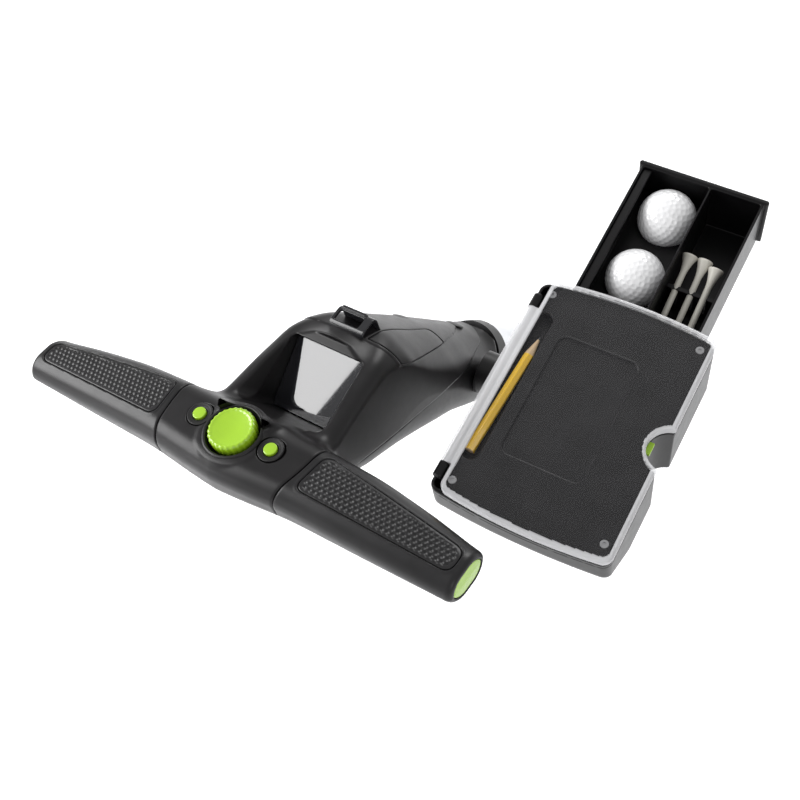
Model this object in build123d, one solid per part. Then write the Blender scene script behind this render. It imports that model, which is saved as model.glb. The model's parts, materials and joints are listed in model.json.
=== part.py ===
"""Control head of an electric golf trolley, with its storage box on a side arm.

Millimetres. The head is modelled in its own deck frame: X along the handlebar to the user's right,
Y forwards, Z square to the deck that carries the speed knob, with zero between the two buttons.
The storage box is modelled in its own frame too, with zero at the front left corner of its lid.
save() moves both into the row frame, whose origin is the centre of the shaft's open lower end.
"""

from build123d import *
import os
from math import cos, radians, sin

os.makedirs("parts", exist_ok=True)

# ---------------------------------------------------------------- driving dimensions
WALL = 2.5                 # moulded housing wall
GAP = 0.3                  # clearance between pieces that move past each other
RUNNING = 0.05             # radial running clearance of pins and shafts

SEAM_X = 54.0              # where the grips meet the centre housing
GRIP_TIP_X = 172.0
CORE_R, CORE_Y, CORE_Z = 8.0, -8.0, -19.0
CORE_START_X = 35.0

BUTTON_X, BUTTON_R, BUTTON_TRAVEL = 29.0, 4.4, 1.2
PAD_R = 8.6
KNOB_R, KNOB_TOP, KNOB_FLOOR = 15.6, 5.0, -5.0
RECESS_R = 17.8
RING_R = 20.2

RIM_FRONT_Y, RIM_BACK_Y = 34.0, 94.0
GLASS_HALF = 29.0
GLASS_LOW, GLASS_HIGH = (49.6, -54.5), (92.0, -29.0)      # (y, z) of the display glass's two ends
GLASS_T = 1.6

SHAFT_ANGLE = 46.6         # slope of the shaft below the deck plane
SHAFT_R, SHAFT_WALL = 22.5, 2.0
SHAFT_BELOW, SHAFT_INSIDE = 200.0, 52.0
COLLAR_R, COLLAR_LENGTH = 27.5, 14.0
COLLAR_CENTRE = (214.0, -182.0)                           # (y, z) where the housing ends
PARTING_POINT, PARTING_SLOPE = (91.0, -89.0), 27.0        # plane between the two housing shells
# Each housing screw's x, y and the height of the shell's underside there.
HOUSING_SCREWS = ((-28, 101, -124.8), (28, 101, -124.8), (-23, 152, -167.7))
SCREW_BOSS_R, SCREW_HEAD_R, SCREW_SHANK_R = 4.0, 3.1, 1.5
CREST_NORMAL = Vector(0, 0.75, 0.66)                      # square to the slope behind the display
CAP_POINTS, CAP_R = ((-15, 160, -75), (-8, 199, -124)), 7.0
PORT_POINT = (27, 140, -75)
FLAP_X, FLAP_T = 17.0, 2.2                                # inner edge and thickness of the port's cover
FLAP_SIDE = ((108.5, 0), (108.5, -40), (112, -46), (167, -106.5), (167, 0))   # (y, z) seen from the side

BOX_CORNER = (91.3, 52.9, -68.6)                          # lid corner in the deck frame
BOX_YAW, BOX_PITCH, BOX_ROLL = 4.3, 4.2, 7.2
BOX_W, BOX_L, BOX_BULGE = 127.0, 172.0, 4.5
BOX_BOTTOM, BASE_TOP, LID_SKIRT = -59.5, -7.3, -7.0
BASE_WALL, BASE_FLOOR = 2.5, 2.7
# (y, z) corners of the wedge cut off under the base's front.
WEDGE = ((-20.0, -16.5), (30.0, -59.5), (30.0, -80.0), (-20.0, -80.0))
NOTCH_X, NOTCH_Y, NOTCH_R = 130.0, 85.5, 15.5
LID_PLATE = 1.8
LATCH_X, LATCH_Y, LATCH_Z = (110.0, 118.0), (81.0, 90.0), (-11.6, -8.4)
TRAY_TOP, TRAY_FLOOR = -3.2, -6.0
POSTS, POST_R = ((14, 10), (118, 12), (12, 162), (118, 162)), 3.6
SLOT_X, SLOT_Y, SLOT_DEPTH = (9.6, 21.6), (27.0, 147.0), 6.4
HINGE_X, HINGE_Z, HINGE_R, HINGE_PIN_R = 4.0, -4.3, 3.5, 1.5
BARREL_Y = (19.0, 147.0)
EAR_Y = (8.0, 158.0)

DRAWER_X = (20.5, 112.0)
DRAWER_FRONT, DRAWER_NEAR = 295.0, 150.0
DRAWER_TOP, DRAWER_FLOOR = -12.5, -54.9
DRAWER_WALL, DRAWER_BASE = 1.8, 1.5
DIVIDER_X = 72.2
BALL_R, BALL_X, BALL_Z = 21.335, 50.6, -33.5
BALL_Y = (271.9, 214.8)
TEE_X, TEE_HEAD_Y, TEE_HEAD_Z = (80.0, 91.2, 100.6), (243.0, 243.0, 239.0), -25.0
TEE_LENGTH, TEE_TILT = 70.0, 16.0

ARM_Y, ARM_Z, ARM_R, ARM_WALL = 136.0, -104.5, 17.0, 3.5
ARM_START, ARM_END = -36.0, 96.0
CLAMP_X, CLAMP_W = 60.0, 34.0
PIVOT_R = 6.0

SHAFT_DIR = Vector(0, cos(radians(SHAFT_ANGLE)), -sin(radians(SHAFT_ANGLE)))
COLLAR_POINT = Vector(0, *COLLAR_CENTRE)
SHAFT_END = COLLAR_POINT + SHAFT_DIR * SHAFT_BELOW

TO_ROW = Location(-SHAFT_END)
BOX_FRAME = (Location(BOX_CORNER) * Location((0, 0, 0), (0, 0, BOX_YAW))
             * Location((0, 0, 0), (BOX_PITCH, 0, 0)) * Location((0, 0, 0), (0, BOX_ROLL, 0)))


# ---------------------------------------------------------------- helpers
def save(name, shape, frame=Location()):
    """Writes one node, moved from its modelling frame into the row frame."""
    export_step((TO_ROW * frame) * Compound(shape.solids()), f"parts/{name}.step")


def span_box(x, y, z):
    """A box between two limits on each axis."""
    size = [b - a for a, b in (x, y, z)]
    centre = [(a + b) / 2 for a, b in (x, y, z)]
    return Pos(*centre) * Box(*size)


def rod(start, direction, length, radius):
    """A cylinder from a start point along a direction."""
    return Plane(origin=start, z_dir=direction) * Pos(0, 0, length / 2) * Cylinder(radius, length)


def pipe(start, direction, length, radius, wall):
    return rod(start, direction, length, radius) - rod(start, direction, length, radius - wall)


def disc(x, y, z0, z1, radius):
    return rod((x, y, z0), (0, 0, 1), z1 - z0, radius)


def group(shapes):
    """Separate solids that share one node."""
    return Compound([solid for shape in shapes for solid in shape.solids()])


def screw(x, y, z, head_r, head_h, shank_r, shank_l):
    """A screw that points down, with its head's top at z and a hexagon socket in it."""
    body = disc(x, y, z - head_h, z, head_r) + disc(x, y, z - head_h - shank_l, z - head_h, shank_r)
    socket = Pos(x, y, z - head_h / 2) * extrude(RegularPolygon(head_r * 0.5, 6), head_h)
    return body - socket


# ---------------------------------------------------------------- handlebar and grips
def bar_section(x, near, far, top, bottom, grow):
    """A rounded section of the handlebar, square to X."""
    width, height = far - near + 2 * grow, top - bottom + 2 * grow
    plane = Plane(origin=(x, (near + far) / 2, (top + bottom) / 2), x_dir=(0, 1, 0), z_dir=(1, 0, 0))
    return plane * RectangleRounded(width, height, 0.46 * height)


def centre_bar(grow=0.0):
    """The middle of the handlebar, which swells towards the user."""
    end = SEAM_X + min(grow, 0)
    return loft([
        bar_section(-end, -26, 21, -1.5, -35, grow),
        bar_section(0, -32, 21, 0, -37, grow),
        bar_section(end, -26, 21, -1.5, -35, grow),
    ])


def grip_form(grow=0.0, start=SEAM_X + 0.2, tip=GRIP_TIP_X):
    """The right grip's solid outline, narrower and a little lower at its tip."""
    return loft([
        bar_section(start, -26, 20.5, -1.8, -35, grow),
        bar_section(start + 60, -26.5, 14, -4.5, -34, grow),
        bar_section(tip, -26, 6, -8, -31.5, grow),
    ])


def panel_prism(margin):
    """The plan outline of the inlay on top of the right grip."""
    corners = [(59, -13 - margin), (166 + margin, -14.5 - margin), (166 + margin, 0 + margin),
               (66, 12 + margin), (59 - margin, 4)]
    face = fillet(make_face(Polyline(*corners, close=True)).vertices(), 4)
    return Pos(0, 0, -18) * extrude(face, 25)


def make_grips():
    end_rim = grip_form(-3.4, tip=GRIP_TIP_X + 1)
    cap_zone = span_box((GRIP_TIP_X - 4, GRIP_TIP_X + 5), (-40, 40), (-40, 10))
    pocket = end_rim & cap_zone
    panel_zone = panel_prism(0.2) & (grip_form(2) - grip_form(-1.4))
    core_hole = rod((0, CORE_Y, CORE_Z), (1, 0, 0), GRIP_TIP_X - 6, CORE_R)
    grip = grip_form() - pocket - panel_zone - core_hole
    panel = panel_prism(0) & (grip_form(0.5) - grip_form(-1.4))
    cap_body = span_box((GRIP_TIP_X - 4, GRIP_TIP_X + 0.8), (-40, 40), (-40, 10))
    cap = grip_form(-3.5, tip=GRIP_TIP_X + 1) & cap_body
    for name, shape in (("grip", grip), ("grip_panel", panel), ("end_cap", cap)):
        save(f"right_{name}", shape)
        save(f"left_{name}", mirror(shape, about=Plane.YZ))
    core = pipe((CORE_START_X, CORE_Y, CORE_Z), (1, 0, 0), GRIP_TIP_X - 8 - CORE_START_X, CORE_R, 1.8)
    save("right_grip_core", core)
    save("left_grip_core", mirror(core, about=Plane.YZ))


# ---------------------------------------------------------------- housing
def pod(grow=0.0):
    """The body from the handlebar down to the shaft: a side outline cut to a plan outline."""
    across = Vector(0, -SHAFT_DIR.Z, SHAFT_DIR.Y) * (COLLAR_R + grow)
    top, low = COLLAR_POINT + across, COLLAR_POINT - across
    side = Polyline(
        (6, -8 + grow), (19, -4 + grow), (RIM_FRONT_Y, -22 + grow), (RIM_BACK_Y, -24 + grow),
        (106, -28 + grow), (126 + grow, -37 + grow), (163 + grow, -78 + grow), (top.Y, top.Z),
        (low.Y, low.Z), (150, -166 - grow), (100, -124 - grow), (50, -90 - grow), (14, -40 - grow),
        close=True)
    side_solid = extrude(Plane.YZ * fillet(make_face(side).vertices(), 4), 60, both=True)
    half = [(6, 50), (RIM_FRONT_Y, 45), (RIM_BACK_Y, 40), (165, 33), (205, 27.5), (250, 27.5)]
    right = [(w + grow, y) for y, w in half]
    left = [(-w, y) for w, y in reversed(right)]
    plan = make_face(Polyline(*right, *left, close=True))
    return side_solid & (Pos(0, 0, -260) * extrude(plan, 300))


def parting_plane():
    slope = radians(PARTING_SLOPE)
    return Plane(origin=(0, *PARTING_POINT), x_dir=(1, 0, 0), z_dir=(0, sin(slope), cos(slope)))


def well_form(grow=0.0):
    """The tapered well that the display looks out of, from above its rim down to the glass."""
    rim = Plane.XY * Pos(0, (RIM_FRONT_Y + RIM_BACK_Y) / 2, -12)
    width, length = 72 + 2 * grow, RIM_BACK_Y - RIM_FRONT_Y + 2 * grow
    glass = glass_plane()
    run = glass_length()
    return loft([rim * RectangleRounded(width, length, 6),
                 glass * RectangleRounded(2 * GLASS_HALF + 2 * grow, run + 2 * grow, 3)])


def glass_plane():
    low, high = Vector(0, *GLASS_LOW), Vector(0, *GLASS_HIGH)
    along = (high - low).normalized()
    return Plane(origin=(low + high) / 2, x_dir=(1, 0, 0), z_dir=Vector(1, 0, 0).cross(along))


def glass_length():
    return (Vector(0, *GLASS_HIGH) - Vector(0, *GLASS_LOW)).length


def in_glass_frame(width, length, z0, z1, radius=2.0):
    """A rounded plate parallel to the display glass, between two heights over it."""
    return glass_plane() * Pos(0, 0, z0) * extrude(RectangleRounded(width, length, radius), z1 - z0)


def screw_boss(x, y, low):
    """A column between the shells, and the pocket and pilot hole for the screw that enters it from below."""
    column = disc(x, y, -220, -10, SCREW_BOSS_R) & pod(-1)
    hole = disc(x, y, low - 12, low + 6, SCREW_HEAD_R + GAP) + disc(x, y, low, low + 28, SCREW_SHANK_R + 0.1)
    return column, hole


def housing_screw(x, y, low):
    """One screw, turned over so that its head is below."""
    upright = screw(0, 0, 0, SCREW_HEAD_R, 2.4, SCREW_SHANK_R, 16)
    return Pos(x, y, low + 3.5) * upright.rotate(Axis.X, 180)


def flap_zone(outer, inner, gap=0.0):
    """The stretch of the pod's skin that the port's cover takes up, between two offsets of the pod."""
    side = extrude(Plane.YZ * make_face(Polyline(*FLAP_SIDE, close=True)), 60)
    side = side if gap == 0 else offset(side, gap)
    return (pod(outer) - pod(inner)) & side & span_box((FLAP_X - gap, 60), (90, 180), (-130, 10))


def make_housing():
    """The centre housing in its upper and lower shells, hollow, with its openings."""
    shell = (centre_bar() + pod()) - (centre_bar(-WALL) + pod(-WALL))
    shell -= well_form(1.9) & span_box((-60, 60), (RIM_FRONT_Y - 4, 120), (-80, 5))
    shell -= disc(0, -1, KNOB_FLOOR - 4, 10, RING_R)
    for side in (-1, 1):
        shell -= disc(side * BUTTON_X, 0, -8, 10, PAD_R)
        shell -= rod((side * (SEAM_X - 8), CORE_Y, CORE_Z), (side, 0, 0), 12, CORE_R + 0.02)
    shell -= rod(COLLAR_POINT - SHAFT_DIR * 12, SHAFT_DIR, 40, SHAFT_R + 0.1)
    shell -= flap_zone(1, -WALL - 0.5, GAP)
    for place in HOUSING_SCREWS:
        column, hole = screw_boss(*place)
        shell = shell + column - hole
    save("housing_screws", group([housing_screw(*place) for place in HOUSING_SCREWS]))
    below = split(shell, bisect_by=parting_plane(), keep=Keep.BOTTOM).solids().sort_by(Axis.Y)
    save("upper_housing", split(shell, bisect_by=parting_plane(), keep=Keep.TOP))
    save("bar_underside", below[0])
    save("lower_housing", below[-1])


def make_housing_inserts():
    """What is fixed in the shells: the arm's boss, the charging port's seat and the display's well."""
    boss = (BOX_FRAME * rod((-60, ARM_Y, ARM_Z), (1, 0, 0), 60 + ARM_START, 20)) - pod()
    save("arm_boss", boss - rod(COLLAR_POINT - SHAFT_DIR * 90, SHAFT_DIR, 120, SHAFT_R + 1))
    seat = flap_zone(-WALL - 0.1, -WALL - 1.6, 0) - rod(PORT_POINT, CREST_NORMAL, 30, 6)
    save("port_surround", seat)
    well = (well_form(1.8) & pod()) - well_form()
    save("display_well", well - in_glass_frame(54, glass_length() - 4, -8, 4))


def make_flap():
    """The cover over the charging port, hinged at its upper edge."""
    save("port_flap", flap_zone(0, -FLAP_T))


def make_display():
    length = glass_length()
    save("display_glass", in_glass_frame(2 * GLASS_HALF - 0.4, length - 0.4, -GLASS_T, 0))
    save("display_mask", in_glass_frame(53.6, length - 4.6, -2.4, -1.7)
         - in_glass_frame(44, length - 14, -3, 0))
    save("lcd_panel", in_glass_frame(50, length - 6, -5.0, -2.5))
    save("display_board", in_glass_frame(52, length - 5, -7.6, -5.1))


# ---------------------------------------------------------------- knob and buttons
def make_controls():
    floor = KNOB_FLOOR - 3
    ring = disc(0, -1, floor, 1.6, RING_R - 0.1) - disc(0, -1, KNOB_FLOOR, 5, RECESS_R)
    ring = fillet(ring.edges().group_by(Axis.Z)[-1], 0.8)
    save("knob_surround", ring - disc(0, -1, floor - 1, 5, 3 + RUNNING))
    knob = disc(0, -1, KNOB_FLOOR + GAP, KNOB_TOP, KNOB_R)
    knob = chamfer(knob.edges().group_by(Axis.Z)[-1], 1.2)
    dish = Pos(0, -1, KNOB_TOP + 39.4) * Sphere(40.2)
    save("speed_knob", knob - dish - disc(0, -1, -10, 0, 3))
    save("knob_shaft", disc(0, -1, -14, 0, 3))
    encoder = Pos(0, -1, -17) * Box(16, 16, 6) + disc(0, -1, -14, floor - 0.2, 5)
    save("speed_encoder", encoder - disc(0, -1, -14.5, 0, 3 + RUNNING))
    for side, name in ((-1, "left"), (1, "right")):
        x = side * BUTTON_X
        pad = disc(x, 0, -6, -1.2, PAD_R - 0.1) - disc(x, 0, -8, 0, BUTTON_R + GAP)
        save(f"{name}_button_pad", pad)
        save(f"{name}_button", disc(x, 0, -8, 0.6, BUTTON_R))
        save(f"{name}_switch", Pos(x, 0, -8 - BUTTON_TRAVEL - GAP - 2) * Box(8, 8, 4))


# ---------------------------------------------------------------- accessory clip, caps and shaft
def make_clip():
    """The short rail on the crest that an accessory hooks on to: a round bar held off a back plate."""
    base = span_box((-14, 14), (106, 128), (-38, -30)) - pod()
    bar = rod((-13.5, 111, -25), (1, 0, 0), 27, 3.5)
    legs = group([span_box((x, x + 3), (109, 124), (-33, -23)) for x in (-13.5, 10.5)])
    plate = span_box((-14, 14), (121.5, 124.5), (-34, -19))
    save("accessory_clip", base + bar + (legs - pod()) + (plate - pod()))


def make_shaft():
    start = COLLAR_POINT - SHAFT_DIR * SHAFT_INSIDE
    save("shaft_tube", pipe(start, SHAFT_DIR, SHAFT_INSIDE + SHAFT_BELOW, SHAFT_R, SHAFT_WALL))
    collar = pipe(COLLAR_POINT + SHAFT_DIR * 0.1, SHAFT_DIR, COLLAR_LENGTH, COLLAR_R, COLLAR_R - SHAFT_R)
    collar = fillet(collar.edges().filter_by(GeomType.CIRCLE).sort_by(Axis.Y)[-1], 1.5)
    save("shaft_collar", collar)
    socket = pipe(start, SHAFT_DIR, 30, SHAFT_R + 1.9, 1.8) & pod(-WALL - 0.1)
    save("shaft_socket", socket)


def make_caps():
    """Two domed caps over the long screws that hold the shells together at the back."""
    cap = Pos(0, 0, 2) * Cylinder(CAP_R, 4)
    caps = [Plane(origin=point, z_dir=CREST_NORMAL) * cap - pod() for point in CAP_POINTS]
    save("screw_caps", group(caps))


# ---------------------------------------------------------------- storage box
def box_outline(inset, left=0.0):
    """The box's plan outline: straight sides, with its front and back edges bowed outwards."""
    x0, x1 = left + inset, BOX_W - inset
    y0, y1 = inset, BOX_L - inset
    middle = (x0 + x1) / 2
    edge = [Line((x0, y0), (x0, y1)), ThreePointArc((x0, y1), (middle, y1 + BOX_BULGE), (x1, y1)),
            Line((x1, y1), (x1, y0)), ThreePointArc((x1, y0), (middle, y0 - BOX_BULGE), (x0, y0))]
    face = make_face(edge)
    return fillet(face.vertices().sort_by(Axis.X)[-2:], 8) if left else fillet(face.vertices(), 6)


def box_slab(inset, z0, z1, left=0.0):
    return Pos(0, 0, z0) * extrude(box_outline(inset, left), z1 - z0)


def notch(grow=0.0, low=-80.0):
    return disc(NOTCH_X, NOTCH_Y, low, 10, NOTCH_R + grow)


def front_wedge(rise=0.0):
    """What is cut off below the base's front, where its floor slopes up to a shallow front wall."""
    side = make_face(Polyline(*[(y, z + rise) for y, z in WEDGE], close=True))
    return extrude(Plane.YZ * side, BOX_W + 20, both=True)


def make_base():
    hollow = box_slab(0.6 + BASE_WALL, BOX_BOTTOM + BASE_FLOOR, 0) - front_wedge(BASE_FLOOR + 1)
    base = box_slab(0.6, BOX_BOTTOM, BASE_TOP) - hollow
    base += (notch(BASE_WALL) & box_slab(0.6, BOX_BOTTOM, BASE_TOP)) - span_box(
        (0, DRAWER_X[1] + 0.5), (0, 200), (BOX_BOTTOM + BASE_FLOOR, 0))
    base -= notch()
    tunnel_z = (BOX_BOTTOM + BASE_FLOOR, DRAWER_TOP + 0.5)
    base -= span_box((DRAWER_X[0] - 0.6, DRAWER_X[1] + 0.5), (120, 200), tunnel_z)
    base -= span_box((-1, 9), (BARREL_Y[0] - 0.4, BARREL_Y[1] + 0.4), (HINGE_Z - HINGE_R - GAP, 0))
    for y0, y1 in ((EAR_Y[0], BARREL_Y[0] - GAP), (BARREL_Y[1] + GAP, EAR_Y[1])):
        ear = rod((HINGE_X, y0, HINGE_Z), (0, 1, 0), y1 - y0, HINGE_R)
        ear += span_box((HINGE_X - 3.0, HINGE_X + 3.0), (y0, y1), (BASE_TOP - 3, HINGE_Z))
        base += ear - rod((HINGE_X, y0 - 1, HINGE_Z), (0, 1, 0), y1 - y0 + 2, HINGE_PIN_R)
    base -= span_box((108, LATCH_X[1] + GAP), *[(a - GAP, b + GAP) for a, b in (LATCH_Y, LATCH_Z)])
    base -= disc(CLAMP_X, ARM_Y, BOX_BOTTOM - 1, BOX_BOTTOM + BASE_FLOOR + 1, 10)
    for x, y in POSTS:
        base += disc(x, y, BOX_BOTTOM + BASE_FLOOR - 1, TRAY_FLOOR - 0.05, POST_R)
        base -= disc(x, y, TRAY_FLOOR - 14, 0, 1.3)
    base -= front_wedge()
    save("box_base", base, BOX_FRAME)
    pin = rod((HINGE_X, EAR_Y[0], HINGE_Z), (0, 1, 0), EAR_Y[1] - EAR_Y[0], HINGE_PIN_R)
    save("hinge_pin", pin, BOX_FRAME)


def slot_form(grow, z0, z1):
    """The long round-ended pocket that a pencil lies in."""
    width, length = SLOT_X[1] - SLOT_X[0] + 2 * grow, SLOT_Y[1] - SLOT_Y[0] + 2 * grow
    centre = Pos((SLOT_X[0] + SLOT_X[1]) / 2, (SLOT_Y[0] + SLOT_Y[1]) / 2, z0)
    return centre * extrude(RectangleRounded(width, length, width / 2 - 0.1), z1 - z0)


def make_tray():
    tray = box_slab(3.2, TRAY_FLOOR, TRAY_TOP, left=5.2)
    tray += slot_form(1.2, TRAY_TOP - SLOT_DEPTH - 1.4, TRAY_TOP)
    tray -= slot_form(0, TRAY_TOP - SLOT_DEPTH, TRAY_TOP + 1)
    recess = Pos(60, 88, TRAY_TOP - 0.9) * extrude(RectangleRounded(57, 94, 6), 2)
    tray -= recess
    tray -= notch(2.2)
    for x, y in POSTS:
        tray -= disc(x, y, TRAY_FLOOR - 1, TRAY_TOP + 1, 1.5) + disc(x, y, TRAY_TOP - 1.5, TRAY_TOP + 1, 3)
    save("scorecard_tray", tray, BOX_FRAME)
    screws = [screw(x, y, TRAY_TOP - 0.1, 2.8, 1.4, 1.3, 8) for x, y in POSTS]
    save("tray_screws", group(screws), BOX_FRAME)


def make_lid():
    lid = box_slab(0, LID_SKIRT, 0, left=8.6) - box_slab(2, LID_SKIRT - 1, -LID_PLATE)
    lid -= notch()
    lid += (notch(1.8, LID_SKIRT) - notch()) & box_slab(0, LID_SKIRT, 0, left=8.6)
    y0, y1 = BARREL_Y
    barrel = rod((HINGE_X, y0, HINGE_Z), (0, 1, 0), y1 - y0, HINGE_R)
    barrel += span_box((HINGE_X, 11), (y0, y1), (-2.6, -0.8))
    lid += barrel - rod((HINGE_X, y0 - 1, HINGE_Z), (0, 1, 0), y1 - y0 + 2, HINGE_PIN_R + RUNNING)
    tab = Pos(61, 9, -4) * extrude(RectangleRounded(27, 33, 6), 6)
    tab -= Pos(61, 9, -5) * extrude(RectangleRounded(25.6, 31.6, 5.4), 8)
    lid -= tab & span_box((40, 80), (2, 40), (-3, 3))
    save("box_lid", lid, BOX_FRAME)


def make_latch():
    """The release button that sticks out of the finger notch's wall."""
    flange = span_box((LATCH_X[0], LATCH_X[0] + 0.8), (LATCH_Y[0] - 2, LATCH_Y[1] + 2), LATCH_Z) - notch(2.8)
    save("lid_latch", span_box(LATCH_X, LATCH_Y, LATCH_Z) + flange, BOX_FRAME)


def make_pencil():
    length, wood, lead = 78, 15, 3
    tip_dir = Vector(4.8, 95, 0).normalized()
    plane = Plane(origin=(13.6, 34, TRAY_TOP - SLOT_DEPTH + 3.4), z_dir=tip_dir)
    body = extrude(RegularPolygon(3.7, 6), length)
    point = Pos(0, 0, length + wood / 2) * Cone(3.2, 1.0, wood)
    point += Pos(0, 0, length + wood + lead / 2) * Cone(1, 0.3, lead)
    save("pencil", plane * (body + point), BOX_FRAME)


# ---------------------------------------------------------------- drawer and what it holds
def make_drawer():
    x0, x1 = DRAWER_X
    body = span_box((x0, x1), (DRAWER_NEAR, DRAWER_FRONT), (DRAWER_FLOOR - DRAWER_BASE, DRAWER_TOP))
    left = span_box((x0 + DRAWER_WALL, DIVIDER_X), (DRAWER_NEAR + 2, DRAWER_FRONT - 1), (DRAWER_FLOOR, 0))
    right_x = (DIVIDER_X + 1.4, x1 - DRAWER_WALL)
    right = span_box(right_x, (DRAWER_NEAR + 2, DRAWER_FRONT - 1), (DRAWER_FLOOR, 0))
    body -= left + right
    face_z = (DRAWER_FLOOR - DRAWER_BASE, DRAWER_TOP + 1)
    face = span_box((x0 - 2.5, x1 + 3), (DRAWER_FRONT, DRAWER_FRONT + 3), face_z)
    save("drawer", body + face, BOX_FRAME)
    rack_x = (x0 + DRAWER_WALL + 0.1, DIVIDER_X - 0.1)
    shelf_y, rail_y = (DRAWER_NEAR + 36, DRAWER_FRONT - 1.2), (DRAWER_NEAR + 2.2, DRAWER_FRONT - 1.2)
    shelf_top = DRAWER_FLOOR + 16
    cups = span_box(rack_x, shelf_y, (shelf_top - 2, shelf_top))
    cups += span_box((rack_x[0], rack_x[0] + 6.4), rail_y, (DRAWER_TOP - 4, DRAWER_TOP - 2))
    cups += span_box((rack_x[0], rack_x[0] + 1.6), rail_y, (DRAWER_FLOOR + 0.05, DRAWER_TOP - 2))
    cups += span_box(rack_x, (shelf_y[0], shelf_y[0] + 2), (DRAWER_FLOOR + 0.05, shelf_top))
    balls = []
    for y in BALL_Y:
        cups -= Pos(BALL_X, y, BALL_Z) * Sphere(BALL_R + 0.2)
        balls.append(Pos(BALL_X, y, BALL_Z) * Sphere(BALL_R))
    save("ball_rack", cups, BOX_FRAME)
    save("golf_balls", group(balls), BOX_FRAME)


def make_tees():
    profile = Polyline((0, 0), (0, -TEE_LENGTH), (1.2, -TEE_LENGTH + 4), (2.3, -TEE_LENGTH + 12), (2.3, -14),
                       (5.6, -1.5), (5.6, 0), close=True)
    tee = revolve(Plane.XZ * make_face(profile), Axis.Z)
    tees = []
    rest_x = (DIVIDER_X + 1.5, DRAWER_X[1] - DRAWER_WALL - 0.1)
    rest = span_box(rest_x, (216, 219), (DRAWER_FLOOR + 0.05, -30))
    for x, y in zip(TEE_X, TEE_HEAD_Y):
        place = Location((x, y, TEE_HEAD_Z)) * Location((0, 0, 0), (-90 + TEE_TILT, 0, 0))
        tees.append(place * tee)
        rest -= place * Pos(0, 0, -30) * Cylinder(2.5, 90)
        rest -= place * Pos(0, 8, -30) * Box(5, 16, 90)
    save("golf_tees", group(tees), BOX_FRAME)
    save("tee_rest", rest, BOX_FRAME)


# ---------------------------------------------------------------- side arm and its clamp
def make_arm():
    length = ARM_END - ARM_START
    save("side_arm", pipe((ARM_START + 0.05, ARM_Y, ARM_Z), (1, 0, 0), length, ARM_R, ARM_WALL), BOX_FRAME)
    plug = rod((ARM_END + 0.1, ARM_Y, ARM_Z), (1, 0, 0), 3, ARM_R) + rod(
        (ARM_END - 10, ARM_Y, ARM_Z), (1, 0, 0), 10.2, ARM_R - ARM_WALL)
    save("arm_end_plug", plug, BOX_FRAME)
    span = (CLAMP_X - CLAMP_W / 2, CLAMP_X + CLAMP_W / 2)
    bore = rod((0, ARM_Y, ARM_Z), (1, 0, 0), 120, ARM_R + RUNNING)
    saddle = rod((span[0], ARM_Y, ARM_Z), (1, 0, 0), CLAMP_W, ARM_R + 5)
    saddle += span_box(span, (ARM_Y - 31, ARM_Y + 31), (ARM_Z - 5, ARM_Z + 5))
    upper = saddle & span_box(span, (0, 200), (ARM_Z + 0.4, 0))
    upper += disc(CLAMP_X, ARM_Y, ARM_Z + 18, BOX_BOTTOM - 4 - GAP, 14)
    upper += disc(CLAMP_X, ARM_Y, ARM_Z + 18, BOX_BOTTOM + 2.0, PIVOT_R)
    lower = saddle & span_box(span, (0, 200), (ARM_Z - 40, ARM_Z - 0.4))
    upper, lower = upper - bore, lower - bore
    bolts = []
    for y in (ARM_Y - 26.5, ARM_Y + 26.5):
        hole = disc(CLAMP_X, y, ARM_Z - 20, ARM_Z + 20, 2.0)
        upper, lower = upper - hole, lower - hole
        bolts.append(screw(CLAMP_X, y, ARM_Z + 8, 3.6, 3, 2.0, 12))
    groove = disc(CLAMP_X, ARM_Y, BOX_BOTTOM + 0.3, BOX_BOTTOM + 1.3, 9)
    groove -= disc(CLAMP_X, ARM_Y, -70, -50, 4.8)
    save("clamp_saddle", upper - groove, BOX_FRAME)
    save("clamp_strap", lower, BOX_FRAME)
    save("clamp_bolts", group(bolts), BOX_FRAME)
    save("pivot_clip", disc(CLAMP_X, ARM_Y, BOX_BOTTOM + 0.4, BOX_BOTTOM + 1.2, 8.8)
         - disc(CLAMP_X, ARM_Y, -70, -50, 4.9), BOX_FRAME)
    plate = disc(CLAMP_X, ARM_Y, BOX_BOTTOM - 4, BOX_BOTTOM - 0.05, 24)
    plate -= disc(CLAMP_X, ARM_Y, -70, -50, PIVOT_R + RUNNING)
    screws = []
    for x, y in ((-16, 0), (16, 0), (0, -16), (0, 16)):
        plate -= disc(CLAMP_X + x, ARM_Y + y, -80, -50, 1.6)
        screws.append(disc(CLAMP_X + x, ARM_Y + y, BOX_BOTTOM - 3.9, BOX_BOTTOM, 1.5))
    save("swivel_plate", plate, BOX_FRAME)
    save("plate_screws", group(screws), BOX_FRAME)


make_grips()
make_housing()
make_housing_inserts()
make_flap()
make_display()
make_controls()
make_clip()
make_shaft()
make_caps()
make_base()
make_tray()
make_lid()
make_latch()
make_pencil()
make_drawer()
make_tees()
make_arm()
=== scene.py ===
"""Looks for the golf trolley's control head and storage box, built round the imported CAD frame.

Shapes are worked out in millimetres in two frames that the CAD also uses: the deck frame of the head
(X along the handlebar, Y forwards, Z square to the knob's deck) and the frame of the storage box.
Smooth moulded forms are distance fields, turned into meshes by surface nets.
"""

import json
import math

import bpy
import numpy as np
from mathutils import Matrix, Vector


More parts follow.
